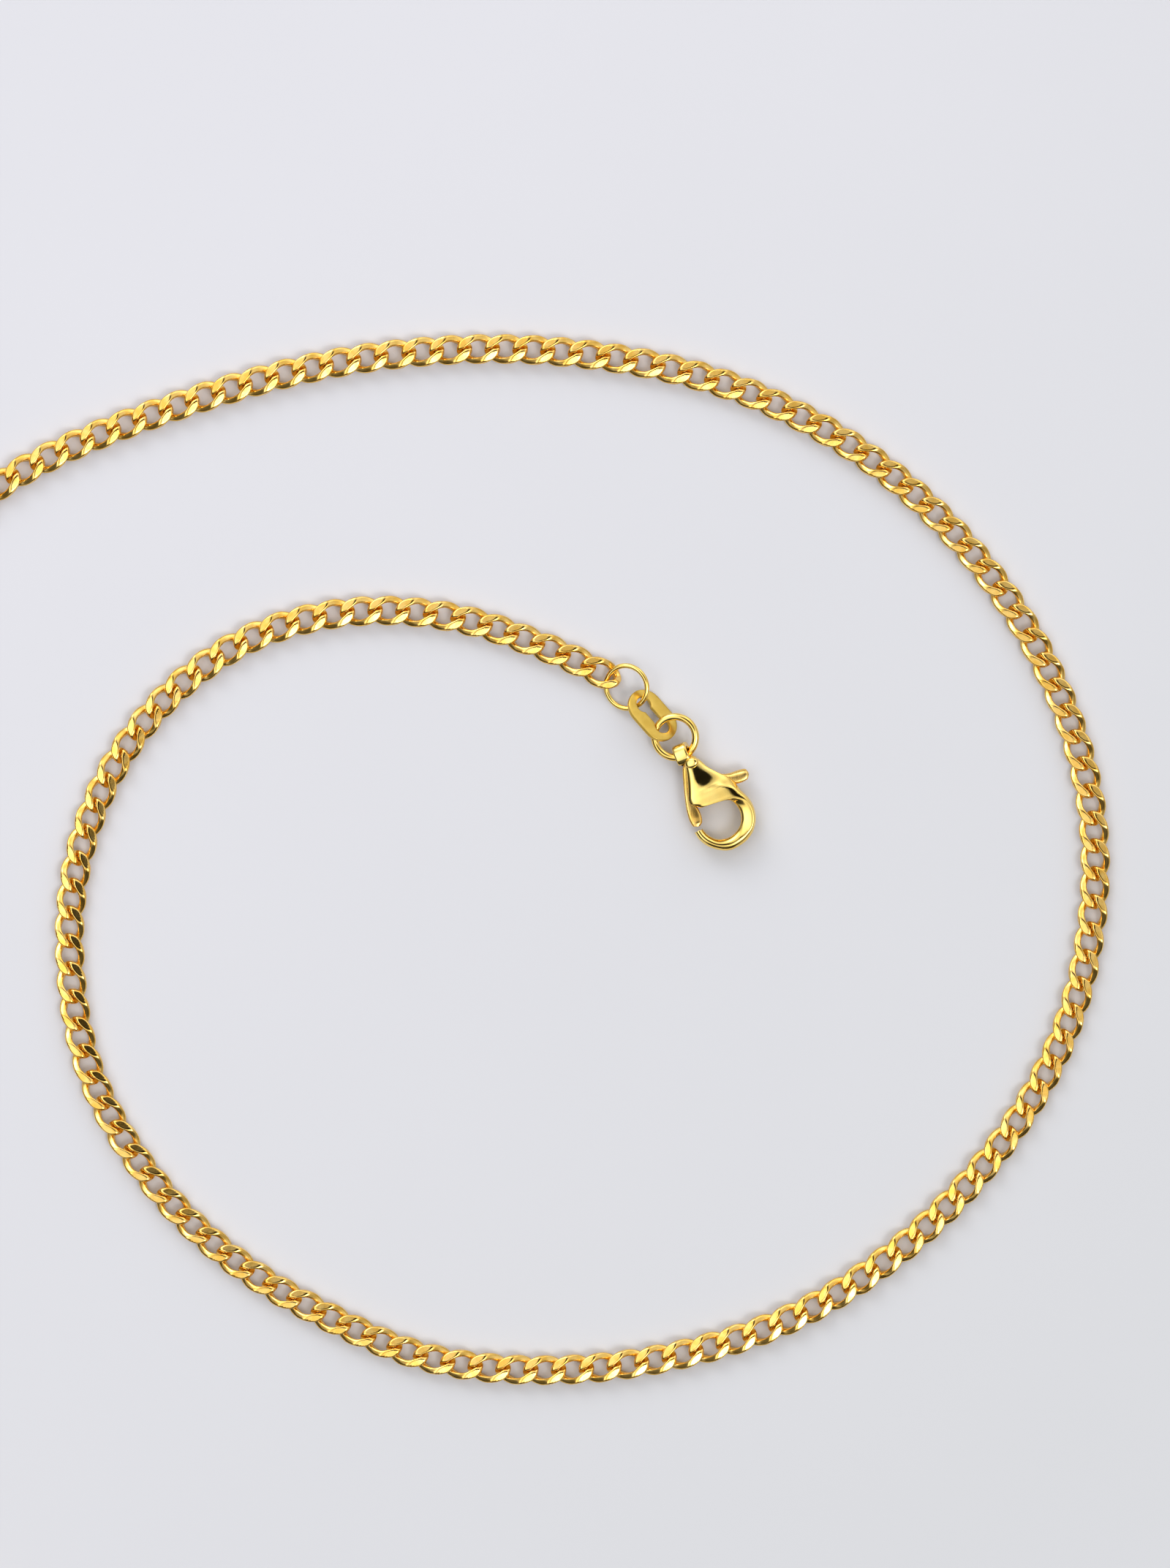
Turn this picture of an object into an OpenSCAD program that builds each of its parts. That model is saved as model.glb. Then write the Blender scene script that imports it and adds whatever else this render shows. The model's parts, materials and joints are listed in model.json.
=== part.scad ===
// Curb chain necklace with a lobster clasp, laid on a table in a loose spiral.
// Z is up and the table is at z = 0. The origin is under the middle of the laid-out chain.

/* [Chain] */
// Number of curb links, four to each chain segment
link_count = 180; // [160:4:180]
// Distance from one link to the next along the chain
link_pitch = 2.38; // [2.36:0.01:2.42]
// Outer length of one link
link_length = 3.76; // [3.74:0.01:3.80]
// Outer width of one link
link_width = 2.60; // [2.50:0.05:2.70]
// Diameter of the wire that the links are made of
link_wire = 0.60; // [0.50:0.02:0.60]
// Height of the chain between its two filed faces
link_height = 1.20; // [1.10:0.05:1.40]
// Twist at each end of a link, in degrees
link_twist = 50; // [45:1:52]

/* [Rings] */
// Outer diameter of the large jump ring, and of the ring on the far end
big_ring_outer = 4.20; // [4.0:0.05:4.3]
// Wire diameter of the large jump ring
big_ring_wire = 0.50; // [0.40:0.02:0.50]
// Outer diameter of the small jump ring
small_ring_outer = 4.15; // [4.0:0.05:4.2]
// Wire diameter of the small jump ring
small_ring_wire = 0.62; // [0.50:0.02:0.62]

/* [Tag] */
// Length of the oval tag link
tag_length = 5.06; // [4.9:0.02:5.2]
// Width of the tag across both bars
tag_width = 3.40; // [3.2:0.05:3.5]
// Thickness of the tag
tag_thick = 0.35; // [0.25:0.05:0.35]
// Width of the slot between the bars
tag_slot = 0.90; // [0.8:0.05:1.1]
// Diameter of the round opening at each end of the slot
tag_eye = 1.40; // [1.2:0.05:1.5]

/* [Clasp] */
// Thickness of the clasp's body over the lever
clasp_body_thick = 2.30; // [2.2:0.05:2.6]
// Thickness of the clasp's hook
clasp_hook_thick = 1.60; // [1.4:0.05:1.8]
// Outer radius of the hook
hook_outer_r = 2.78; // [2.7:0.02:2.85]
// Radius of the round space inside the hook
hook_inner_r = 1.75; // [1.6:0.05:1.8]
// Thickness of the lever, which turns in the body's channel
lever_thick = 0.90; // [0.7:0.05:0.9]
// Clearance between the lever and each side of the channel
lever_gap = 0.05; // [0.05:0.01:0.1]
// Radius of the pin that the lever turns on
pin_r = 0.25; // [0.22:0.01:0.26]

/* [Hidden] */
$fn = 48;
gold = [0.93, 0.74, 0.32];
gold_satin = [0.85, 0.68, 0.30];
steel = [0.75, 0.75, 0.78];

// The chain: segments, and the sweep that makes one link
links_in_segment = 4;
segment_count = link_count / links_in_segment;
segment_names = [for (s = [1 : segment_count]) str("chain_", s < 10 ? "0" : "", s)];
link_rings = 12;
link_sides = 5;
half_long = (link_length - link_wire) / 2;
half_wide = (link_width - link_wire) / 2;
ring_step = 360 / link_rings;
side_step = 360 / link_sides;

// Centre line of the chain as it lies on the table, from its far end round to the clasp
route = [
    [7.5, -14.5], [1.5, -8.5], [-3.5, -1.0], [-7.5, 8.0], [-11.5, 18.0], [-15.0, 28.5], [-17.5, 39.5],
    [-18.5, 50.5], [-18.0, 62.0], [-15.5, 73.0], [-10.0, 83.5], [0.5, 93.0], [15.5, 99.5], [31.5, 103.5],
    [48.0, 104.0], [64.0, 100.5], [78.0, 92.0], [88.5, 79.0], [93.5, 63.5], [91.5, 47.0], [83.0, 33.0],
    [70.0, 22.5], [54.5, 17.5], [38.5, 17.5], [26.0, 22.5], [17.5, 28.3], [11.6, 35.0], [7.6, 42.6],
    [6.0, 51.0], [6.4, 59.5], [9.3, 67.8], [14.6, 74.8], [21.8, 79.7], [30.4, 81.8], [39.2, 81.2],
    [47.4, 78.4], [52.4, 76.0]
];
route_steps = 12;
// The middle of the laid-out chain, which becomes the origin
table_middle = [37.56, 46.35];

// Rings: centre, height of the centre, tilt and the direction of the axis they tilt about
// The thin ring is placed on the end link that it passes through
thin_ring_at = [2.52, -0.09, 0.96];
thin_ring_tilt = 22.2;
thin_ring_axis = -33.9;
small_ring_at = [57.70, 71.04, 1.22];
small_ring_tilt = -12.2;
small_ring_axis = 134.4;

// Tag: centre, and its long axis on the table; it leans on the rings about that axis
tag_at = [55.75, 72.88];
tag_axis = -48.7;
tag_tilt = -36;
tag_end_width = 0.65;
tag_rise = tag_width / 2 * abs(sin(tag_tilt)) + tag_thick / 2 * cos(tag_tilt);
tag_round_at = (tag_length - tag_width) / 2;
tag_eye_at = tag_length / 2 - tag_end_width - tag_eye / 2;

// Clasp: its own frame has x along the clasp away from the eye, and z across the channel
clasp_at = [59.06, 68.94, clasp_body_thick / 2];
clasp_axis = -67.4;
pivot_at = [0.3, 0];
boss_r = 0.42;
bore_gap = 0.03;
pin_gap = 0.02;
head_r = 0.50;
head_rise = 0.12;
head_ball_r = 1.1;
rivet_r = 0.38;
rivet_deep = 0.15;
eye_at = [-0.82, -0.39, -0.05];
eye_outer_r = 1.0;
eye_inner_r = 0.5;
eye_width = 1.15;
hook_at = [5.5, 0.7];
hook_hole_at = [5.45, 0.45];
body_outline = [
    [-0.25, -0.65], [0.6, -0.75], [1.6, -1.05], [2.9, -1.55], [3.45, -1.65], [3.8, -1.0], [4.0, -0.8],
    [5.0, 0.5], [5.0, 3.3], [3.6, 2.95], [2.5, 2.6], [1.8, 1.95], [1.0, 1.27], [0.0, 0.8], [-0.25, 0.65]
];
hook_opening = [[3.7, -3.0], [3.7, -0.9], [4.4, -0.3], [5.65, -1.1], [5.65, -3.0]];
gate_outline = [
    [0.05, -0.35], [0.3, -0.95], [1.35, -1.3], [3.15, -1.85], [4.6, -2.08], [5.2, -1.98], [5.38, -1.45],
    [5.1, -1.0], [4.0, -0.9], [3.4, -1.1], [2.0, -0.75], [0.5, 0.0]
];
tab_outline = [
    [0.1, 0.4], [1.2, 1.2], [2.0, 1.85], [2.2, 2.3], [2.25, 3.1], [2.3, 3.95], [2.6, 4.2], [2.95, 4.1],
    [3.3, 3.75], [3.3, 3.0], [2.9, 2.2], [2.0, 1.25], [0.5, 0.1]
];
channel_end = -0.17;
channel_far = 6;
channel_half = lever_thick / 2 + lever_gap;
// The cheeks are joined by a wedge that lies between these angles, seen from the pin
wedge_near_r = 1.6;
wedge_low = 12;
wedge_high = 30;
channel_low = -115;
channel_high = 120;
gate_reach = 4.6;
spring_line = [[3.0, 0.48], [1.1, 0.08], [0.95, -0.06], [1.1, -0.22], [2.0, -0.62], [2.8, -0.83]];
spring_thick = 0.12;
spring_width = 0.70;

function unit(v) = v / norm(v);

// One link: an oval wire loop twisted about its long axis, with both faces filed flat
function link_turn(t) = -link_twist * cos(t);
function link_mid(t) = [
    half_long * cos(t),
    half_wide * sin(t) * cos(link_turn(t)),
    half_wide * sin(t) * sin(link_turn(t))
];
function link_along(t) = unit(link_mid(t + 0.01) - link_mid(t - 0.01));
function link_face(t) = [0, -sin(link_turn(t)), cos(link_turn(t))];
function link_up(t) = unit(link_face(t) - link_along(t) * (link_face(t) * link_along(t)));
function link_out(t) = cross(link_along(t), link_up(t));
function filed(p) = [p[0], p[1], max(0, min(link_height, p[2] + link_height / 2))];
function wire_point(t, side) =
    link_mid(t) + link_wire / 2 * (cos(side) * link_out(t) + sin(side) * link_up(t));

// Vertex number of side j on ring i; both run round and close
function corner(i, j) = (i % link_rings) * link_sides + j % link_sides;
link_points = [
    for (i = [0 : link_rings - 1])
        for (j = [0 : link_sides - 1])
            filed(wire_point(i * ring_step, j * side_step))
];
link_faces = [
    for (i = [0 : link_rings - 1])
        for (j = [0 : link_sides - 1])
            for (half = [0, 1])
                half == 0
                    ? [corner(i, j), corner(i, j + 1), corner(i + 1, j + 1)]
                    : [corner(i, j), corner(i + 1, j + 1), corner(i + 1, j)]
];

// The route as a smooth line through its points, and the place at a given length along it
function curve(a, b, c, d, u) =
    (2 * b + (c - a) * u + (2 * a - 5 * b + 4 * c - d) * u * u + (3 * b - a - 3 * c + d) * u * u * u) / 2;
route_last = len(route) - 1;
line = [
    for (i = [0 : route_last - 1])
        for (k = [0 : route_steps - 1])
            curve(
                i == 0 ? 2 * route[0] - route[1] : route[i - 1],
                route[i],
                route[i + 1],
                i == route_last - 1 ? 2 * route[route_last] - route[i] : route[i + 2],
                k / route_steps
            ),
    route[route_last]
];
line_last = len(line) - 1;
line_steps = [for (i = [0 : line_last]) i == line_last ? 0 : norm(line[i + 1] - line[i])];
line_run = [for (i = 0, run = 0; i <= line_last; run = run + line_steps[i], i = i + 1) run];
line_x = [for (i = [0 : line_last]) [line_run[i], line[i][0]]];
line_y = [for (i = [0 : line_last]) [line_run[i], line[i][1]]];
function place_at(run) = [lookup(run, line_x), lookup(run, line_y)] - table_middle;
// Point where link i meets the link before it
function meeting(i) = place_at(line_run[line_last] - (link_count - i) * link_pitch);

// Places its children on link i, with x along the chain towards the clasp
module on_link(i) {
    reach = meeting(i + 1) - meeting(i);
    middle = (meeting(i + 1) + meeting(i)) / 2;
    translate([middle[0], middle[1], 0])
        rotate(atan2(reach[1], reach[0]))
            children();
}

// Places its children at a point of the laid-out necklace
module on_table(point, height) {
    translate([point[0] - table_middle[0], point[1] - table_middle[1], height])
        children();
}

// Places its children in the clasp's own frame
module on_clasp() {
    on_table(clasp_at, clasp_at[2])
        rotate(clasp_axis)
            children();
}

module chain_segment(s) {
    color(gold)
        for (i = [(s - 1) * links_in_segment : s * links_in_segment - 1])
            on_link(i)
                polyhedron(points = link_points, faces = link_faces);
}

module wire_ring(outer, wire) {
    rotate_extrude()
        translate([(outer - wire) / 2, 0])
            circle(d = wire);
}

// The thin ring as it hangs in the clasp end of a link
module thin_ring() {
    translate(thin_ring_at)
        rotate(a = thin_ring_tilt, v = [cos(thin_ring_axis), sin(thin_ring_axis), 0])
            wire_ring(big_ring_outer, big_ring_wire);
}

module big_ring() {
    color(gold)
        on_link(link_count - 1)
            thin_ring();
}

// The far end of a link is the same as its clasp end, turned half round
module end_ring() {
    color(gold)
        on_link(0)
            rotate(180)
                thin_ring();
}

module small_ring() {
    color(gold)
        on_table(small_ring_at, small_ring_at[2])
            rotate(a = small_ring_tilt, v = [cos(small_ring_axis), sin(small_ring_axis), 0])
                wire_ring(small_ring_outer, small_ring_wire);
}

module tag() {
    color(gold_satin)
        on_table(tag_at, tag_rise)
            rotate(tag_axis)
                rotate([tag_tilt, 0, 0])
                    difference() {
                        slab(tag_round_at, tag_width, tag_width, tag_thick);
                        slab(tag_eye_at, tag_slot, tag_eye, tag_thick * 2);
                    }
}

// A bar with a round at each end, centred on the origin
module slab(reach, width, round_width, thick) {
    cube([reach * 2, width, thick], center = true);
    for (side = [-1, 1])
        translate([side * reach, 0, 0])
            cylinder(d = round_width, h = thick, center = true);
}

// The space for the lever between the body's cheeks
module channel() {
    linear_extrude(channel_half * 2, center = true)
        intersection() {
            translate([channel_end, -channel_far])
                square([channel_far * 2, channel_far * 2]);
            translate(pivot_at)
                union() {
                    circle(wedge_near_r);
                    fan(channel_low, wedge_low, gate_reach);
                    fan(wedge_high, channel_high, channel_far);
                }
        }
}

// A flat fan of the given radius from one angle to another, round the pin
module fan(from, to, reach) {
    middle = (from + to) / 2;
    intersection() {
        circle(reach);
        polygon([
            [0, 0],
            reach * 2 * [cos(from), sin(from)],
            reach * 2 * [cos(middle), sin(middle)],
            reach * 2 * [cos(to), sin(to)]
        ]);
    }
}

module plate(outline, thick) {
    linear_extrude(thick, center = true)
        polygon(outline);
}

module disc(point, radius, thick) {
    translate([point[0], point[1], 0])
        cylinder(r = radius, h = thick, center = true);
}

// A round bar across the clasp, as the eye and its opening lie
module eye_bar(radius, width) {
    translate(eye_at)
        rotate([90, 0, 0])
            cylinder(r = radius, h = width, center = true);
}

module clasp_body() {
    color(gold)
        on_clasp()
            difference() {
                union() {
                    plate(body_outline, clasp_body_thick);
                    disc(hook_at, hook_outer_r, clasp_hook_thick);
                    eye_bar(eye_outer_r, eye_width);
                }
                disc(hook_hole_at, hook_inner_r, clasp_body_thick * 2);
                plate(hook_opening, clasp_body_thick * 2);
                channel();
                eye_bar(eye_inner_r, eye_width * 2);
                disc(pivot_at, pin_r + pin_gap, clasp_body_thick * 2);
                pin_foot(pin_gap);
            }
}

// The spread lower end of the pin, which holds it in the body
module pin_foot(gap) {
    translate([pivot_at[0], pivot_at[1], -clasp_body_thick / 2])
        cylinder(r1 = rivet_r + gap, r2 = pin_r + gap, h = rivet_deep);
}

module clasp_pin() {
    color(gold)
        on_clasp() {
            disc(pivot_at, pin_r, clasp_body_thick);
            pin_foot(0);
            translate([pivot_at[0], pivot_at[1], clasp_body_thick / 2])
                intersection() {
                    cylinder(r = head_r, h = head_rise);
                    translate([0, 0, head_rise - head_ball_r])
                        sphere(head_ball_r);
                }
        }
}

module clasp_lever() {
    color(gold)
        on_clasp()
            difference() {
                union() {
                    disc(pivot_at, boss_r, lever_thick);
                    plate(gate_outline, lever_thick);
                    plate(tab_outline, lever_thick);
                }
                disc(pivot_at, pin_r + bore_gap, lever_thick * 2);
            }
}

// A bent strip between the wedge and the lever's gate
module clasp_spring() {
    color(steel)
        on_clasp()
            linear_extrude(spring_width, center = true)
                for (i = [0 : len(spring_line) - 2])
                    strip(spring_line[i], spring_line[i + 1]);
}

module strip(from, to) {
    reach = to - from;
    translate(from)
        rotate(atan2(reach[1], reach[0])) {
            translate([0, -spring_thick / 2])
                square([norm(reach), spring_thick]);
            circle(d = spring_thick);
        }
}

for (s = [1 : segment_count])
    chain_segment(s);
big_ring();
tag();
small_ring();
clasp_body();
clasp_lever();
clasp_pin();
clasp_spring();
end_ring();
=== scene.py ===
"""A gold curb chain necklace with a lobster clasp, laid out in a loose spiral on a pale surface.

Everything stands in the CAD frame, in metres. The values below and the shapes worked out from them
are in millimetres unless a comment says otherwise, and new_piece() brings the shapes to metres.
"""

import json

import bpy
import numpy as np
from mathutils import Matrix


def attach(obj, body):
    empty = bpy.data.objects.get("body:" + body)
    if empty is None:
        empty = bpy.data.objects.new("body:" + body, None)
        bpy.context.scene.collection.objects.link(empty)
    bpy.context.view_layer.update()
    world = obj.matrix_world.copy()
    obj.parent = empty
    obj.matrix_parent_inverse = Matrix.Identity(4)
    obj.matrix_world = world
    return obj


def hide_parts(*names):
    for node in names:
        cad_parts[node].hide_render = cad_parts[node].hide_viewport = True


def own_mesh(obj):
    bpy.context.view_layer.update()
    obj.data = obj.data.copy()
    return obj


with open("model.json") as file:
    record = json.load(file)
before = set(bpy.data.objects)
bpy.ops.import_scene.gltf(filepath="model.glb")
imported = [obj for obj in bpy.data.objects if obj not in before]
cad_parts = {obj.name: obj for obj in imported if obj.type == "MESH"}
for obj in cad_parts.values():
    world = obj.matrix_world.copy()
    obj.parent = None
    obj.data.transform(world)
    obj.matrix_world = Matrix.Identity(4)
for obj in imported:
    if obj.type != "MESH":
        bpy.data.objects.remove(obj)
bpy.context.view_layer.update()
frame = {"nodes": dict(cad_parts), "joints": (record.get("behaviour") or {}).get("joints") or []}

MM = 0.001
TAU = 2 * np.pi

# Where the view looks, and how much of the surface it takes in, in mm
VIEW_MIDDLE = (12.44, 20.68)
VIEW_HEIGHT = 134.06
CAMERA_HEIGHT = 520.0
CHAIN_MIDDLE_HEIGHT = 0.9

# One link: half length and half width of the wire's centre line, the wire's half sizes, and its twist
LINK_HALF_LONG = 1.58
LINK_HALF_WIDE = 0.99
LINK_WIRE_OUT = 0.29
LINK_WIRE_UP = 0.30
LINK_TWIST = np.radians(50)
LINK_MID_HEIGHT = 0.6
LINK_CORNER = 5
LINK_AROUND = 56
LINK_SIDES = 20

# The facet filed on a link: how far its plane tips, towards where, and a point that it passes through
FACET_TILT = np.radians(13)
FACET_BEARING = np.radians(-55)
FACET_THROUGH = (1.1, -0.62, 0.50)

# How much thinner the large rings' wire is than the CAD's, to clear the smooth links
LARGE_RING_SLIM = 0.86
RING_AROUND = 160
RING_SIDES = 28

# The tag's end bars, eyes and slot, and how square its section's corners are
TAG_END_WIDTH = 0.65
TAG_EYE_RADIUS = 0.70
TAG_SLOT_HALF = 0.40
TAG_CORNER = 0.3
TAG_QUARTER_STEPS = 48
TAG_SIDES = 32

# The clasp in its own frame: u away from the eye, v across, heights from its middle plane
PIVOT_ALONG = 0.3
EYE_MIDDLE = (-0.84, -0.39, -0.05)
EYE_LEAN = np.radians(14)
# The eye's band: radius, width, thickness, and the power that squares its section
EYE_BAND = (0.74, 1.18, 0.46, 0.35)
EYE_ROUNDNESS = 0.75
EYE_AROUND = 96
EYE_SIDES = 28
# The pin's head and shaft: half sizes along u and v, then height above and depth below the middle
PIN_HEAD_MIDDLE = (0.12, 0.0, 0.80)
PIN_HEAD = (0.44, 0.60, 0.34, 0.3)
PIN_SHAFT = (0.25, 0.25, 0.8, 1.1)
DOME_LEVELS = 24
DOME_AROUND = 48
DOME_CORNER = 0.6
# The underside is level at this depth, and the lever's channel is cut this far each way
CLASP_HALF = 1.14
CHANNEL_HALF = 0.50
CHANNEL_OUTLINE = [
    (-0.17, -3.0), (4.9, -3.0), (4.9, 0.98), (1.87, 0.33), (1.69, 0.80), (5.5, 3.0), (5.5, 4.5), (-0.17, 4.5)
]
# Sections of the body from the neck round the hook to its tip:
# edge A (u, v), edge B (u, v), half height, ridge place, fall to A, fall to B
BODY_STATIONS = [
    (-0.35, -0.60, -0.35, 0.45, 0.72, 0.50, 0.10, 0.30),
    (0.10, -0.66, 0.15, 0.80, 0.85, 0.36, 0.09, 0.30),
    (0.80, -0.80, 0.90, 1.20, 0.85, 0.28, 0.09, 0.32),
    (1.60, -1.05, 1.60, 1.80, 0.84, 0.24, 0.11, 0.33),
    (2.40, -1.34, 2.20, 2.35, 0.89, 0.38, 0.21, 0.36),
    (3.00, -1.54, 2.80, 2.72, 1.04, 0.68, 0.34, 0.36),
    (3.44, -1.48, 3.30, 2.88, 1.14, 0.84, 0.39, 0.32),
    (3.72, -1.10, 3.80, 2.98, 1.18, 0.91, 0.37, 0.28),
    (3.98, -0.70, 4.20, 3.15, 1.20, 0.92, 0.34, 0.26),
    (3.78, 0.00, 4.70, 3.36, 1.18, 0.92, 0.32, 0.26),
    (3.82, 1.00, 5.30, 3.47, 1.11, 0.91, 0.30, 0.26),
    (4.30, 1.76, 6.00, 3.43, 1.03, 0.90, 0.28, 0.26),
    (5.10, 2.16, 6.80, 3.16, 0.95, 0.88, 0.25, 0.28),
    (6.00, 2.11, 7.50, 2.65, 0.88, 0.80, 0.23, 0.32),
    (6.70, 1.67, 8.00, 1.90, 0.84, 0.60, 0.24, 0.36),
    (7.10, 1.00, 8.25, 1.00, 0.82, 0.46, 0.30, 0.35),
    (7.20, 0.30, 8.27, 0.20, 0.80, 0.42, 0.34, 0.35),
    (6.95, -0.50, 7.95, -0.60, 0.80, 0.42, 0.38, 0.35),
    (6.40, -1.02, 7.30, -1.40, 0.80, 0.42, 0.38, 0.35),
    (5.95, -1.22, 6.50, -1.90, 0.78, 0.44, 0.36, 0.35),
    (5.68, -1.28, 5.72, -2.07, 0.74, 0.46, 0.30, 0.30),
]
# Sections of the lever from the gate's end past the pin to the thumb tab's end
LEVER_STATIONS = [
    (5.22, -1.99, 5.38, -1.42, 0.52, 0.50, 0.10, 0.15),
    (4.90, -2.06, 5.10, -1.08, 0.56, 0.50, 0.08, 0.12),
    (4.50, -2.07, 4.50, -0.95, 0.46, 0.50, 0.05, 0.10),
    (3.90, -2.00, 3.90, -0.98, 0.42, 0.50, 0.05, 0.05),
    (3.15, -1.84, 3.30, -1.08, 0.42, 0.50, 0.05, 0.05),
    (2.20, -1.57, 2.20, -0.83, 0.43, 0.50, 0.05, 0.05),
    (1.35, -1.29, 1.40, -0.50, 0.43, 0.50, 0.05, 0.05),
    (0.70, -1.08, 0.95, -0.20, 0.43, 0.50, 0.05, 0.05),
    (0.15, -0.80, 0.85, 0.15, 0.43, 0.50, 0.05, 0.05),
    (-0.06, -0.20, 0.85, 0.40, 0.43, 0.50, 0.05, 0.05),
    (-0.05, 0.30, 1.00, 0.60, 0.43, 0.50, 0.05, 0.05),
    (0.30, 0.75, 1.30, 0.75, 0.43, 0.50, 0.05, 0.05),
    (1.10, 1.25, 1.90, 1.20, 0.43, 0.50, 0.05, 0.05),
    (1.90, 1.95, 2.60, 1.85, 0.43, 0.50, 0.05, 0.08),
    (2.15, 2.60, 3.00, 2.40, 0.45, 0.30, 0.40, 0.05),
    (2.20, 3.30, 3.27, 3.00, 0.47, 0.30, 0.50, 0.05),
    (2.32, 4.00, 3.27, 3.80, 0.47, 0.30, 0.50, 0.08),
    (2.70, 4.18, 3.00, 4.10, 0.38, 0.40, 0.30, 0.20),
]
SPRING_LINE = [(3.0, 0.48), (1.1, 0.08), (0.95, -0.06), (1.1, -0.22), (2.0, -0.62), (2.8, -0.83)]
SPRING_THICK = 0.12
SPRING_HALF_WIDE = 0.35

# Directions that the light comes from, how narrow each is, and its strength
SURROUND_LOBES = [
    ((-0.60, -0.22, 0.77), 14, 1.9),
    ((0.38, -0.36, 0.85), 50, 8.0),
    ((0.05, -0.66, 0.75), 14, 1.2),
    ((-0.42, 0.72, 0.52), 24, 5.5),
    ((0.50, 0.75, 0.42), 12, 1.5),
    ((-0.38, 0.14, 0.92), 22, 1.1),
    ((0.05, 0.72, 0.70), 12, 0.5),
    ((0.72, 0.00, 0.70), 10, 0.7),
]
SURROUND_LEVEL = 0.24
# The patches that polished metal shows dark: direction, inner and outer cosine, and the light left
SURROUND_DARK = [
    ((0.12, 0.15, 0.981), 0.983, 0.948, 0.03),
    ((0.00, -0.92, 0.40), 0.91, 0.80, 0.12),
    ((-0.88, -0.30, 0.35), 0.94, 0.84, 0.12),
]
SURROUND_COLOUR = (0.97, 0.98, 1.0, 1.0)

# The floor in metres, and its two tones of painted light: the lighter towards -x and +y, the painted shade
# towards +x and -y, where the light falls off
FLOOR_HALF = 1.5
FLOOR_PAINTED_LIT = (0.700, 0.692, 0.722, 1.0)
FLOOR_PAINTED_SHADE = (0.630, 0.630, 0.642, 1.0)
SENSOR_WIDTH = 36


# ---------------------------------------------------------------- mesh helpers


def grid_faces(rows, cols, close_rows, close_cols):
    """Quads (i, j), (i+1, j), (i+1, j+1), (i, j+1) of a grid numbered i * cols + j."""
    i = np.arange(rows if close_rows else rows - 1)[:, None]
    j = np.arange(cols if close_cols else cols - 1)[None, :]
    a, b = i % rows, (i + 1) % rows
    c, d = j % cols, (j + 1) % cols
    quads = np.stack([a * cols + c, b * cols + c, b * cols + d, a * cols + d], axis=-1)
    return quads.reshape(-1, 4)


def unit(v):
    """v / |v| along the last axis."""
    return v / np.linalg.norm(v, axis=-1, keepdims=True)


def turn(axis, angle):
    """The rotation I + sin(angle) K + (1 - cos(angle)) K K, K being the axis's cross product matrix."""
    x, y, z = unit(np.array(axis, float))
    k = np.array([[0, -z, y], [z, 0, -x], [-y, x, 0]])
    return np.eye(3) + np.sin(angle) * k + (1 - np.cos(angle)) * k @ k


def outward(points, faces):
    """The faces, all reversed if they point inwards.

    Six times a closed surface's volume is the sum of a . (b x c) over its triangles, and it is negative
    if they point inwards.
    """
    fans = [(f[0], f[k], f[k + 1]) for f in faces for k in range(1, len(f) - 1)]
    a, b, c = points[np.array(fans).T]
    volume = np.einsum("ij,ij->", a - points[0], np.cross(b - points[0], c - points[0]))
    return faces if volume > 0 else [tuple(f)[::-1] for f in faces]


def new_piece(name, shells, material):
    """One object made of closed shells, each (points in mm, faces), shaded smooth but for end faces."""
    points, faces, start = [], [], 0
    for shell_points, shell_faces in shells:
        points.append(shell_points)
        faces += [tuple(k + start for k in f) for f in outward(shell_points, shell_faces)]
        start += len(shell_points)
    mesh = bpy.data.meshes.new(name)
    mesh.from_pydata(np.vstack(points) * MM, [], faces)
    mesh.polygons.foreach_set("use_smooth", [len(f) <= 8 for f in faces])
    mesh.update()
    piece = bpy.data.objects.new(name, mesh)
    bpy.context.scene.collection.objects.link(piece)
    mesh.materials.append(material)
    return piece


def islands(node):
    """The separate solids of a CAD node, each as its distinct points in mm."""
    mesh = frame["nodes"][node].data
    points = np.empty(len(mesh.vertices) * 3)
    mesh.vertices.foreach_get("co", points)
    points, same = np.unique(np.round(points.reshape(-1, 3) / MM, 4), axis=0, return_inverse=True)
    corners = np.empty(len(mesh.loops), int)
    mesh.loops.foreach_get("vertex_index", corners)
    triangles = same.ravel()[corners].reshape(-1, 3)
    label = np.arange(len(points))
    while True:
        lowest = label[triangles].min(axis=1)
        after = label.copy()
        np.minimum.at(after, triangles.ravel(), np.repeat(lowest, 3))
        if (after == label).all():
            break
        label = after
    return [points[label == k] for k in np.unique(label)]


# ---------------------------------------------------------------- materials


def shader_node(tree, kind, **inputs):
    """A node of the tree with its inputs set: a socket is linked, a plain value is stored.

    An input is named by its own name, with _ for a space, or by i and its number.
    """
    n = tree.nodes.new(kind)
    for key, value in inputs.items():
        numbered = key[0] == "i" and key[1:].isdigit()
        socket = n.inputs[int(key[1:]) if numbered else key.replace("_", " ")]
        if isinstance(value, bpy.types.NodeSocket):
            tree.links.new(value, socket)
        else:
            socket.default_value = value
    return n


def maths(tree, operation, a, b):
    """The value of a maths node."""
    n = shader_node(tree, "ShaderNodeMath", i0=a, i1=b)
    n.operation = operation
    return n.outputs[0]


def map_range(tree, value, low, high, to_low, to_high, smooth=False):
    """value taken from low..high to to_low..to_high, held at the ends."""
    n = shader_node(
        tree, "ShaderNodeMapRange", Value=value, From_Min=low, From_Max=high, To_Min=to_low, To_Max=to_high
    )
    n.interpolation_type = "SMOOTHSTEP" if smooth else "LINEAR"
    return n.outputs[0]


def noise(tree, vector, scale, detail, roughness=0.5):
    """Noise at a number of waves per metre."""
    return shader_node(
        tree, "ShaderNodeTexNoise", Vector=vector, Scale=scale, Detail=detail, Roughness=roughness
    ).outputs[0]


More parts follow.
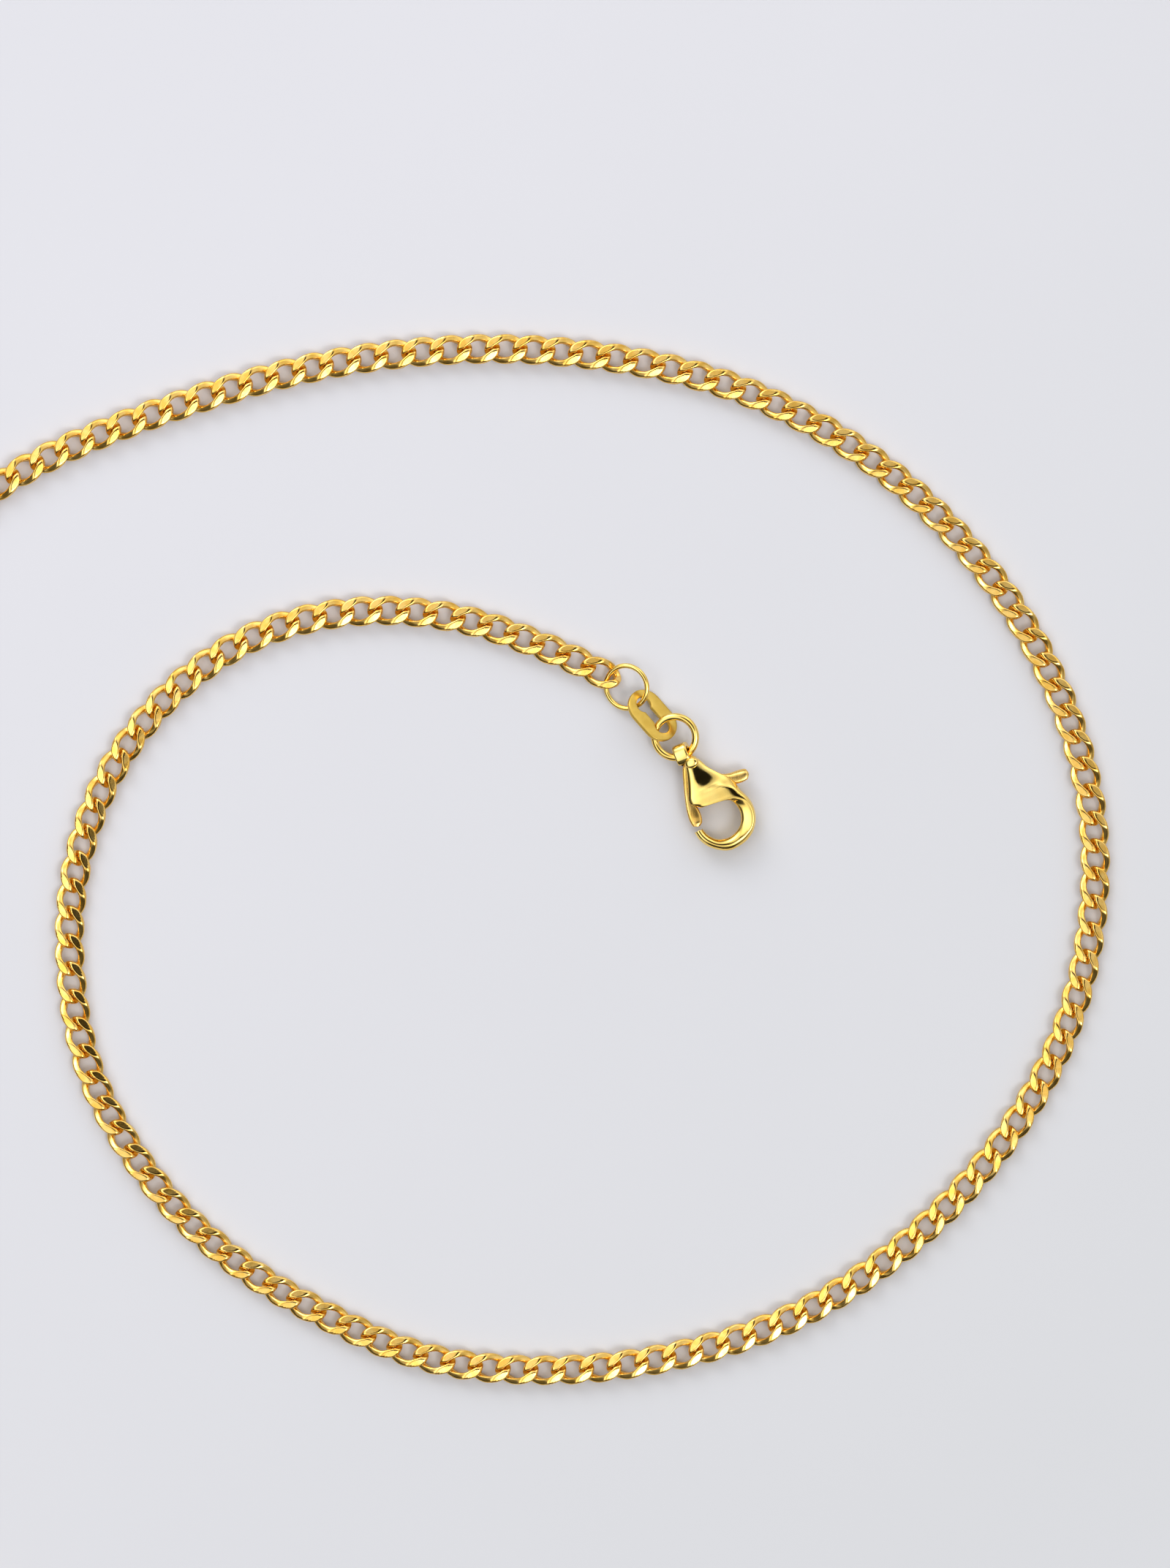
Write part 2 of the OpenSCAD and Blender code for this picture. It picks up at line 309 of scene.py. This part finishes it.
def metal_wear_group():
    """Polished metal's small marks: outputs a roughness, a colour blend and a bumped normal."""
    tree = bpy.data.node_groups.new("metal_wear", "ShaderNodeTree")
    face = tree.interface
    for name, low, high, value in (
        ("Polish roughness", 0.0, 1.0, 0.10),
        ("Worn roughness", 0.0, 1.0, 0.25),
        ("Wave scale", 0.0, 10000.0, 900.0),
        ("Wave depth", 0.0, 1.0, 0.00001),
        ("Scratch scale", 0.0, 100000.0, 6000.0),
        ("Scratch amount", 0.0, 1.0, 0.3),
    ):
        s = face.new_socket(name=name, in_out="INPUT", socket_type="NodeSocketFloat")
        s.default_value, s.min_value, s.max_value = value, low, high
    face.new_socket(name="Vector", in_out="INPUT", socket_type="NodeSocketVector")
    face.new_socket(name="Roughness", in_out="OUTPUT", socket_type="NodeSocketFloat")
    face.new_socket(name="Tarnish", in_out="OUTPUT", socket_type="NodeSocketFloat")
    face.new_socket(name="Normal", in_out="OUTPUT", socket_type="NodeSocketVector")
    given = tree.nodes.new("NodeGroupInput").outputs
    result = tree.nodes.new("NodeGroupOutput").inputs
    waves = noise(tree, given["Vector"], given["Wave scale"], 2.0)
    stretched = shader_node(
        tree, "ShaderNodeMapping", Vector=given["Vector"], Scale=(1.0, 0.12, 1.0)
    ).outputs[0]
    scratches = noise(tree, stretched, given["Scratch scale"], 4.0, 0.7)
    scratch_mask = map_range(tree, scratches, 0.55, 0.75, 0.0, 1.0)
    worn = maths(tree, "MULTIPLY", scratch_mask, given["Scratch amount"])
    rough = shader_node(
        tree, "ShaderNodeMix", i0=worn, i2=given["Polish roughness"], i3=given["Worn roughness"]
    ).outputs[0]
    tree.links.new(rough, result["Roughness"])
    tree.links.new(map_range(tree, waves, 0.3, 0.7, 0.0, 1.0, smooth=True), result["Tarnish"])
    low = shader_node(tree, "ShaderNodeBump", Strength=1.0, Distance=given["Wave depth"], Height=waves)
    fine_depth = maths(tree, "MULTIPLY", given["Wave depth"], 0.12)
    fine = shader_node(
        tree, "ShaderNodeBump", Strength=1.0, Distance=fine_depth, Height=scratches, Normal=low.outputs[0]
    )
    tree.links.new(fine.outputs[0], result["Normal"])
    return tree


def worn_metal(
    name, wear, deep, light, polish, worn, wave_scale, wave_depth, scratch_scale, scratch_amount
):
    """Metal whose colour runs between two tones, with the wear group's roughness and normal."""
    material = bpy.data.materials.new(name)
    material.use_nodes = True
    tree = material.node_tree
    shader = tree.nodes["Principled BSDF"]
    place = tree.nodes.new("ShaderNodeTexCoord").outputs["Object"]
    group = tree.nodes.new("ShaderNodeGroup")
    group.node_tree = wear
    for key, value in (
        ("Polish roughness", polish),
        ("Worn roughness", worn),
        ("Wave scale", wave_scale),
        ("Wave depth", wave_depth),
        ("Scratch scale", scratch_scale),
        ("Scratch amount", scratch_amount),
    ):
        group.inputs[key].default_value = value
    tree.links.new(place, group.inputs["Vector"])
    tone = shader_node(tree, "ShaderNodeMix", i0=group.outputs["Tarnish"], i6=(*deep, 1.0), i7=(*light, 1.0))
    tone.data_type = "RGBA"
    tree.links.new(tone.outputs[2], shader.inputs["Base Color"])
    tree.links.new(group.outputs["Roughness"], shader.inputs["Roughness"])
    tree.links.new(group.outputs["Normal"], shader.inputs["Normal"])
    shader.inputs["Metallic"].default_value = 1.0
    return material


def floor_material():
    """Smooth pale card with a faint mottle, and painted shade: its tone runs from the painted lit tone to
    the painted shaded tone along x - y, where the light falls off.
    """
    material = bpy.data.materials.new("pale_surface")
    material.use_nodes = True
    tree = material.node_tree
    shader = tree.nodes["Principled BSDF"]
    place = tree.nodes.new("ShaderNodeTexCoord").outputs["Object"]
    split = tree.nodes.new("ShaderNodeSeparateXYZ")
    tree.links.new(place, split.inputs[0])
    across = maths(tree, "SUBTRACT", split.outputs["X"], split.outputs["Y"])
    # Painted shade: the card's colour darkens along x - y to stand in for the light's fall-off
    painted_falloff = map_range(tree, across, -0.08, 0.09, 0.0, 1.0)
    tone = shader_node(tree, "ShaderNodeMix", i0=painted_falloff, i6=FLOOR_PAINTED_LIT, i7=FLOOR_PAINTED_SHADE)
    tone.data_type = "RGBA"
    mottle = map_range(tree, noise(tree, place, 40.0, 2.0), 0.0, 1.0, 0.99, 1.01)
    shade = tree.nodes.new("ShaderNodeVectorMath")
    shade.operation = "SCALE"
    tree.links.new(tone.outputs[2], shade.inputs[0])
    tree.links.new(mottle, shade.inputs["Scale"])
    tree.links.new(shade.outputs[0], shader.inputs["Base Color"])
    shader.inputs["Roughness"].default_value = 0.7
    shader.inputs["Specular IOR Level"].default_value = 0.2
    return material


wear = metal_wear_group()
gold_chain = worn_metal(
    "gold_chain",
    wear,
    deep=(0.92, 0.53, 0.09),
    light=(1.0, 0.66, 0.19),
    polish=0.13,
    worn=0.30,
    wave_scale=1300.0,
    wave_depth=0.000008,
    scratch_scale=9000.0,
    scratch_amount=0.35,
)
gold_ring = worn_metal(
    "gold_ring",
    wear,
    deep=(0.95, 0.60, 0.12),
    light=(1.0, 0.72, 0.20),
    polish=0.07,
    worn=0.2,
    wave_scale=700.0,
    wave_depth=0.00001,
    scratch_scale=7000.0,
    scratch_amount=0.3,
)
gold_tag = worn_metal(
    "gold_tag",
    wear,
    deep=(0.62, 0.40, 0.07),
    light=(0.71, 0.48, 0.10),
    polish=0.28,
    worn=0.40,
    wave_scale=900.0,
    wave_depth=0.00001,
    scratch_scale=12000.0,
    scratch_amount=0.8,
)
gold_clasp = worn_metal(
    "gold_clasp",
    wear,
    deep=(0.96, 0.64, 0.15),
    light=(1.0, 0.74, 0.22),
    polish=0.07,
    worn=0.16,
    wave_scale=420.0,
    wave_depth=0.000012,
    scratch_scale=5000.0,
    scratch_amount=0.2,
)
gold_lever = worn_metal(
    "gold_lever",
    wear,
    deep=(0.85, 0.50, 0.10),
    light=(0.95, 0.64, 0.20),
    polish=0.24,
    worn=0.42,
    wave_scale=420.0,
    wave_depth=0.00005,
    scratch_scale=5000.0,
    scratch_amount=0.4,
)
steel_spring = worn_metal(
    "steel_spring",
    wear,
    deep=(0.55, 0.55, 0.57),
    light=(0.70, 0.70, 0.72),
    polish=0.25,
    worn=0.4,
    wave_scale=900.0,
    wave_depth=0.00001,
    scratch_scale=9000.0,
    scratch_amount=0.5,
)


# ---------------------------------------------------------------- the chain


def link_line(t):
    """The wire's centre line: (a cos t, b sin t cos f, b sin t sin f) with the twist f = -F cos t."""
    f = -LINK_TWIST * np.cos(t)
    y = LINK_HALF_WIDE * np.sin(t)
    return np.stack([LINK_HALF_LONG * np.cos(t), y * np.cos(f), y * np.sin(f)], axis=-1)


def filed(points, through, normal):
    """Points above the plane are lowered onto it along z."""
    above = (points - through) @ normal
    points[:, 2] -= np.maximum(above, 0) / normal[2]
    return points


def link_shell():
    """One link about its own centre: a rounded square section swept along link_line, then filed.

    The section is (cos s, sin s) / (|cos s|^n + |sin s|^n)^(1/n) times the wire's half sizes, n being
    LINK_CORNER. The facet is filed four times: as it stands, and half a turn about z, x and y.
    """
    t = (np.arange(LINK_AROUND) + 0.5) / LINK_AROUND * TAU
    s = np.arange(LINK_SIDES) / LINK_SIDES * TAU
    middle = link_line(t)
    along = unit(link_line(t + 1e-4) - link_line(t - 1e-4))
    f = -LINK_TWIST * np.cos(t)
    up = np.stack([0 * t, -np.sin(f), np.cos(f)], axis=-1)
    up = unit(up - along * np.sum(up * along, axis=-1, keepdims=True))
    out = np.cross(along, up)
    swell = (np.abs(np.cos(s)) ** LINK_CORNER + np.abs(np.sin(s)) ** LINK_CORNER) ** (-1 / LINK_CORNER)
    x = (LINK_WIRE_OUT * swell * np.cos(s))[None, :, None]
    y = (LINK_WIRE_UP * swell * np.sin(s))[None, :, None]
    points = (middle[:, None] + x * out[:, None] + y * up[:, None]).reshape(-1, 3)
    tip = np.sin(FACET_TILT)
    normal = np.array([tip * np.cos(FACET_BEARING), tip * np.sin(FACET_BEARING), np.cos(FACET_TILT)])
    through = np.array(FACET_THROUGH)
    for flip in (np.eye(3), turn((0, 0, 1), np.pi), turn((1, 0, 0), np.pi), turn((0, 1, 0), np.pi)):
        points = filed(points @ flip.T, through, normal) @ flip
    return points, grid_faces(LINK_AROUND, LINK_SIDES, True, True)


def build_chain():
    """Every chain node's links, each placed at its CAD link's centre and long axis."""
    shape, faces = link_shell()
    for node in sorted(n for n in frame["nodes"] if n.startswith("chain_")):
        shells = []
        for solid in islands(node):
            centre = solid.mean(axis=0)
            flat = solid[:, :2] - centre[:2]
            along = np.linalg.eigh(flat.T @ flat)[1][:, 1]
            spin = turn((0, 0, 1), np.arctan2(along[1], along[0]))
            shells.append((shape @ spin.T + [centre[0], centre[1], LINK_MID_HEIGHT], faces))
        piece = new_piece("links_" + node[-2:], shells, gold_chain)
        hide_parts(node)
        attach(piece, node)


# ---------------------------------------------------------------- rings


def build_ring(node, slim):
    """A round wire ring in its CAD ring's place: ((R + r cos s) cos t, (R + r cos s) sin t, r sin s).

    The wire's radius r is the CAD ring's times slim. A ring's node and its body have the same name.
    """
    solid = islands(node)[0]
    centre = (solid.max(axis=0) + solid.min(axis=0)) / 2
    away = solid - centre
    normal = np.linalg.eigh(away.T @ away)[1][:, 0]
    normal *= np.sign(normal[2])
    rise = away @ normal
    wire = rise.max()
    centre = solid.mean(axis=0)
    reach = np.linalg.norm(away - rise[:, None] * normal, axis=1).max() - wire
    wire *= slim
    side = unit(np.cross(normal, [0.0, 1.0, 0.0]))
    across = np.cross(normal, side)
    t = np.arange(RING_AROUND)[:, None] / RING_AROUND * TAU
    s = np.arange(RING_SIDES)[None, :] / RING_SIDES * TAU
    x = (reach + wire * np.cos(s)) * np.cos(t)
    y = (reach + wire * np.cos(s)) * np.sin(t)
    z = wire * np.sin(s) + 0 * t
    points = x[..., None] * side + y[..., None] * across + z[..., None] * normal + centre
    faces = grid_faces(RING_AROUND, RING_SIDES, True, True)
    piece = new_piece(node + "_wire", [(points.reshape(-1, 3), faces)], gold_ring)
    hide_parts(node)
    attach(piece, node)


# ---------------------------------------------------------------- tag and clasp


def smooth_line(points, steps):
    """Catmull-Rom curve through the rows of points, steps samples to each span, ends included.

    For a span from b to c between neighbours a and d, it is half of 2b + (c - a) u
    + (2a - 5b + 4c - d) u^2 + (3b - a - 3c + d) u^3. Past each end, the next row is mirrored.
    """
    p = np.array(points, float)
    p = np.vstack([2 * p[0] - p[1], p, 2 * p[-1] - p[-2]])
    u = (np.arange(steps) / steps)[None, :, None]
    a, b, c, d = (p[k : len(p) - 3 + k, None] for k in range(4))
    line = (2 * b + (c - a) * u + (2 * a - 5 * b + 4 * c - d) * u**2 + (3 * b - a - 3 * c + d) * u**3) / 2
    return np.vstack([line.reshape(-1, p.shape[1]), p[-2:-1]])


def squared(angle, power):
    """A rounded square's (cos, sin): each is sign * |value| ^ power, and a low power squares it."""
    c, s = np.cos(angle), np.sin(angle)
    return np.sign(c) * np.abs(c) ** power, np.sign(s) * np.abs(s) ** power


def capped(rings, sides):
    """Faces of an open tube of rings, with one many-sided face over each end."""
    faces = [tuple(f) for f in grid_faces(rings, sides, False, True)]
    return faces + [tuple(range(sides)), tuple(range((rings - 1) * sides, rings * sides))[::-1]]


def build_tag():
    """The flat oval link: each section runs from the opening's outline to the outer outline.

    Both outlines are walked a quarter at a time by length: a round end, then a straight side.
    """
    solid = islands("tag")[0]
    centre = (solid.max(axis=0) + solid.min(axis=0)) / 2
    away = solid - centre
    normal, across, along = np.linalg.eigh(away.T @ away)[1].T
    long, wide, thick = (np.abs(away @ v).max() for v in (along, across, normal))

    def quarter(end, radius, half_width, share):
        """Point at a share of the way: round the arc at x = end, then straight back to x = 0."""
        sweep = np.pi - np.arcsin(half_width / radius) if half_width < radius else np.pi / 2
        arc = sweep * radius
        stop = end + radius * np.cos(sweep)
        run = share * (arc + stop)
        angle = np.minimum(run, arc) / radius
        x = end + radius * np.cos(angle) - np.maximum(run - arc, 0)
        return np.stack([x, radius * np.sin(angle)], axis=-1)

    def outline(end, radius, half_width):
        """The quarter and its three mirror images, in order round the loop."""
        share = np.arange(TAG_QUARTER_STEPS) / TAG_QUARTER_STEPS
        first = quarter(end, radius, half_width, share)
        back = quarter(end, radius, half_width, 1 - share)
        return np.vstack([first, back * [-1, 1], first * [-1, -1], back * [1, -1]])

    outer = outline(long - wide, wide, wide)
    inner = outline(long - TAG_END_WIDTH - TAG_EYE_RADIUS, TAG_EYE_RADIUS, TAG_SLOT_HALF)
    c, s = squared(np.arange(TAG_SIDES) / TAG_SIDES * TAU, TAG_CORNER)
    share = (0.5 - 0.5 * c)[None, :, None]
    flat = inner[:, None] + (outer - inner)[:, None] * share
    rise = thick * s[None, :, None] * (1 + 0 * flat[..., :1])
    points = flat[..., :1] * along + flat[..., 1:] * across + rise * normal + centre
    faces = grid_faces(4 * TAG_QUARTER_STEPS, TAG_SIDES, True, True)
    piece = new_piece("tag_plate", [(points.reshape(-1, 3), faces)], gold_tag)
    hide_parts("tag")
    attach(piece, "tag")


def joint(name):
    """The record's joint of that name."""
    return next(j for j in frame["joints"] if j["name"] == name)


def clasp_frame():
    """The clasp's origin in mm, and its level axes: u away from the eye, and v across."""
    v = unit(np.array(joint("clasp_fold")["axis"], float))
    u = np.array([v[1], -v[0], 0.0])
    return np.array(joint("lever_open")["pos_m"]) / MM - PIVOT_ALONG * u, u, v


def on_clasp(points):
    """Points (u, v, z) of the clasp's frame, in the CAD frame."""
    origin, u, v = clasp_frame()
    return origin + points[:, :1] * u + points[:, 1:2] * v + points[:, 2:] * np.array([0.0, 0.0, 1.0])


def cast_bar(stations, steps, sides, corner):
    """A bar whose sections run between two edges, with a ridge along its upper and lower faces.

    A station is (edge A u, v, edge B u, v, half height H, ridge at r, fall to A, fall to B). Across the
    section, q goes 0 to 1 from A to B, and the half height is H (1 - fall (r - q) / r) on A's
    side and H (1 - fall ((q - r) / (1 - r)) ^ 2) on B's, times a squared sine that rounds the edges. The
    underside is cut off level at CLASP_HALF.
    """
    line = smooth_line(stations, steps)
    c, s = squared(np.arange(sides) / sides * TAU, corner)
    q = (0.5 - 0.5 * c)[None, :]
    edge_a, edge_b = line[:, None, 0:2], line[:, None, 2:4]
    height, ridge, fall_a, fall_b = (line[:, k : k + 1] for k in range(4, 8))
    near = np.clip((ridge - q) / ridge, 0, 1)
    far = np.clip((q - ridge) / (1 - ridge), 0, 1) ** 2
    z = np.maximum(height * (1 - fall_a * near - fall_b * far) * s[None, :], -CLASP_HALF)
    flat = edge_a + (edge_b - edge_a) * q[..., None]
    points = np.concatenate([flat, z[..., None]], axis=-1).reshape(-1, 3)
    return points, capped(len(line), sides)


def turned_band(middle, radius, width, thick, corner, lean):
    """A squarish band round the v axis, leaned about u: radius + thick c / 2 out, width s / 2 along."""
    t = np.arange(EYE_AROUND)[:, None] / EYE_AROUND * TAU
    c, s = squared(np.arange(EYE_SIDES)[None, :] / EYE_SIDES * TAU, corner)
    out = radius + thick / 2 * c
    round_c, round_s = squared(t, EYE_ROUNDNESS)
    points = np.stack([out * round_c, width / 2 * s + 0 * t, out * round_s], axis=-1)
    points = points.reshape(-1, 3) @ turn((1.0, 0.0, 0.0), lean).T + middle
    return points, grid_faces(EYE_AROUND, EYE_SIDES, True, True)


def dome(middle, half_u, half_v, rise, sink, lean):
    """A closed button leaned about u: an ellipse c(p), with height rise s(p) above and sink s(p) below."""
    p = np.linspace(-np.pi / 2, np.pi / 2, DOME_LEVELS + 2)[1:-1, None]
    t = np.arange(DOME_AROUND)[None, :] / DOME_AROUND * TAU
    c, s = squared(p, DOME_CORNER)
    high = np.where(p > 0, rise, sink) * s
    points = np.stack([half_u * c * np.cos(t), half_v * c * np.sin(t), high + 0 * t], axis=-1)
    points = points.reshape(-1, 3) @ turn((1.0, 0.0, 0.0), lean).T + middle
    return points, capped(DOME_LEVELS, DOME_AROUND)


def carved(shell, outline, half_height):
    """The shell with a slot cut through it: the outline's prism from -half_height to half_height."""
    objects = []
    n = len(outline)
    low = [(u, v, -half_height) for u, v in outline]
    high = [(u, v, half_height) for u, v in outline]
    sides = [(k, (k + 1) % n, n + (k + 1) % n, n + k) for k in range(n)]
    prism = (low + high, [tuple(range(n))[::-1], tuple(range(n, 2 * n))] + sides)
    for points, faces in (shell, prism):
        mesh = bpy.data.meshes.new("carving")
        mesh.from_pydata(points, [], faces)
        mesh.update()
        objects.append(bpy.data.objects.new("carving", mesh))
        bpy.context.scene.collection.objects.link(objects[-1])
    cut = objects[0].modifiers.new("slot", "BOOLEAN")
    cut.operation = "DIFFERENCE"
    cut.solver = "EXACT"
    cut.object = objects[1]
    bpy.context.view_layer.update()
    seen = objects[0].evaluated_get(bpy.context.evaluated_depsgraph_get()).to_mesh()
    points = np.empty(len(seen.vertices) * 3)
    seen.vertices.foreach_get("co", points)
    faces = [tuple(p.vertices) for p in seen.polygons]
    for o in objects:
        bpy.data.objects.remove(o)
    return points.reshape(-1, 3), faces


def build_clasp():
    """The clasp's cast body with its eye, the lever, the pin and the spring strip."""
    body = cast_bar(BODY_STATIONS, steps=12, sides=64, corner=0.42)
    body = carved(body, CHANNEL_OUTLINE, CHANNEL_HALF)
    eye = turned_band(EYE_MIDDLE, *EYE_BAND, EYE_LEAN)
    eye = carved(eye, CHANNEL_OUTLINE, CHANNEL_HALF)
    lever = cast_bar(LEVER_STATIONS, steps=10, sides=40, corner=0.4)
    head = dome(PIN_HEAD_MIDDLE, *PIN_HEAD, EYE_LEAN)
    shaft = dome((PIVOT_ALONG, 0, 0), *PIN_SHAFT, 0.0)
    strip = np.array([(u, v, u, v, SPRING_HALF_WIDE, 0.5, 0.0, 0.0) for u, v in SPRING_LINE])
    along = unit(np.gradient(strip[:, :2], axis=0))
    side = np.stack([-along[:, 1], along[:, 0]], axis=-1) * SPRING_THICK / 2
    strip[:, 0:2] -= side
    strip[:, 2:4] += side
    spring = cast_bar(strip, steps=10, sides=16, corner=0.3)
    for name, shells, material, node, body_name, slot in (
        ("clasp_cast", [body, eye], gold_clasp, "clasp_body", "clasp", "gold_polished"),
        ("clasp_gate", [lever], gold_lever, "clasp_lever", "clasp_lever", "gold_polished"),
        ("clasp_pin_head", [head, shaft], gold_clasp, "clasp_pin", "clasp", "gold_polished"),
        ("clasp_strip", [spring], steel_spring, "clasp_spring", "clasp", "spring_steel"),
    ):
        piece = new_piece(name, [(on_clasp(np.asarray(p, float)), f) for p, f in shells], material)
        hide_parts(node)
        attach(piece, body_name)
        if node == "clasp_spring":
            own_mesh(piece)


# ---------------------------------------------------------------- surroundings


def build_surroundings():
    """A pale surface, a soft surround with a dark patch nearly overhead, and the camera straight above."""
    scene = bpy.context.scene
    corners = [(x * FLOOR_HALF, y * FLOOR_HALF, 0) for x, y in ((-1, -1), (1, -1), (1, 1), (-1, 1))]
    mesh = bpy.data.meshes.new("surface")
    mesh.from_pydata(corners, [], [(0, 1, 2, 3)])
    mesh.materials.append(floor_material())
    floor = bpy.data.objects.new("surface", mesh)
    scene.collection.objects.link(floor)

    world = bpy.data.worlds.new("surround")
    scene.world = world
    world.use_nodes = True
    tree = world.node_tree
    background = tree.nodes["Background"]
    direction = tree.nodes.new("ShaderNodeTexCoord").outputs["Generated"]

    def facing(toward):
        """The cosine between the direction and toward."""
        n = tree.nodes.new("ShaderNodeVectorMath")
        n.operation = "DOT_PRODUCT"
        tree.links.new(direction, n.inputs[0])
        n.inputs[1].default_value = tuple(unit(np.array(toward, float)))
        return n.outputs["Value"]

    def lobe(toward, power, strength):
        """strength * max(cosine, 0) ^ power."""
        lit = maths(tree, "POWER", maths(tree, "MAXIMUM", facing(toward), 0.0), power)
        return maths(tree, "MULTIPLY", lit, strength)

    total = None
    for toward, power, strength in SURROUND_LOBES:
        value = lobe(toward, power, strength)
        total = value if total is None else maths(tree, "ADD", total, value)
    total = maths(tree, "ADD", total, SURROUND_LEVEL)
    for toward, inner, outer, left in SURROUND_DARK:
        keep = map_range(tree, facing(toward), outer, inner, 1.0, left, smooth=True)
        total = maths(tree, "MULTIPLY", total, keep)
    background.inputs["Color"].default_value = SURROUND_COLOUR
    tree.links.new(total, background.inputs["Strength"])

    camera_data = bpy.data.cameras.new("camera")
    camera = bpy.data.objects.new("camera", camera_data)
    scene.collection.objects.link(camera)
    camera.location = (VIEW_MIDDLE[0] * MM, VIEW_MIDDLE[1] * MM, (CAMERA_HEIGHT + CHAIN_MIDDLE_HEIGHT) * MM)
    camera_data.sensor_width = SENSOR_WIDTH
    camera_data.lens = SENSOR_WIDTH * CAMERA_HEIGHT / VIEW_HEIGHT
    camera_data.clip_start = 0.01
    camera_data.clip_end = 10
    camera_data.dof.use_dof = False
    scene.camera = camera
    scene.view_settings.view_transform = "Standard"


build_chain()
build_ring("big_ring", LARGE_RING_SLIM)
build_ring("small_ring", 1.0)
build_ring("end_ring", LARGE_RING_SLIM)
build_tag()
build_clasp()
build_surroundings()
